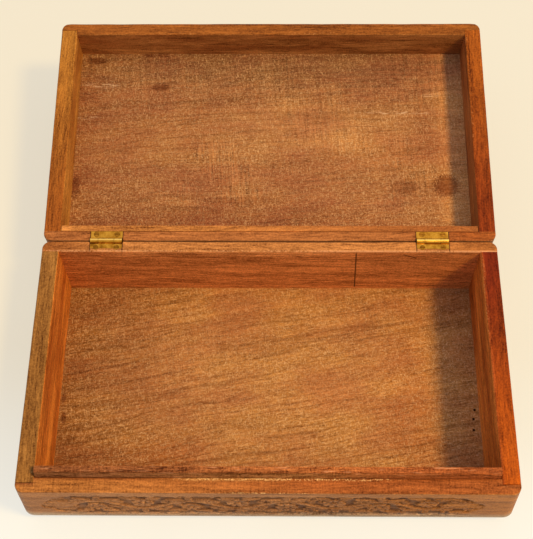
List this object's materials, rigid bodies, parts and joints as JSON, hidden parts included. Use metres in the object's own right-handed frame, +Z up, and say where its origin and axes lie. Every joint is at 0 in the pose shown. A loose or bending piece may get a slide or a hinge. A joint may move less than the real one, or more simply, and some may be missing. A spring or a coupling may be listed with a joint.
{
  "type": "carved wooden box",
  "caption": "Oblong carved rosewood box with a shallow lid on brass butt hinges, lying open; a bevelled lip inside the front guides the lid as it shuts.",
  "frame": {"origin": "middle of the underside of the base, on the surface that the box stands on", "axes": "+X along the width to the right, +Y from the front towards the hinges and the open lid, +Z up"},
  "size_m": [0.2336, 0.2611, 0.0581],
  "materials": {
    "rosewood": "hand-rubbed satin, long grain, worn at the edges",
    "sawn_panel": "dry, rough-sawn, left unfinished inside",
    "hinge_brass": "pressed sheet brass, dulled in the corners",
    "brad_steel": "plain drawn wire"
  },
  "bodies": {
    "base": {"base_front_board": "rosewood", "base_back_board": "rosewood", "base_left_board": "rosewood", "base_right_board": "rosewood", "base_front_lip": "rosewood", "base_bottom_panel": "sawn_panel", "left_hinge_base_leaf": "hinge_brass", "right_hinge_base_leaf": "hinge_brass", "left_hinge_pin": "hinge_brass", "right_hinge_pin": "hinge_brass", "base_hinge_screws": "hinge_brass", "base_corner_brads": "brad_steel", "base_panel_brads": "brad_steel"},
    "lid": {"lid_front_board": "rosewood", "lid_back_board": "rosewood", "lid_left_board": "rosewood", "lid_right_board": "rosewood", "lid_back_strip": "rosewood", "lid_top_panel": "sawn_panel", "left_hinge_lid_leaf": "hinge_brass", "right_hinge_lid_leaf": "hinge_brass", "lid_hinge_screws": "hinge_brass", "lid_corner_brads": "brad_steel", "lid_panel_brads": "brad_steel"}
  },
  "joints": [
    {"name": "lid_hinge", "type": "hinge", "parent": "base", "child": "lid", "pos_m": [0, 0.06495, 0.0448], "axis": [1, 0, 0], "range_deg": [0, 174]}
  ]
}
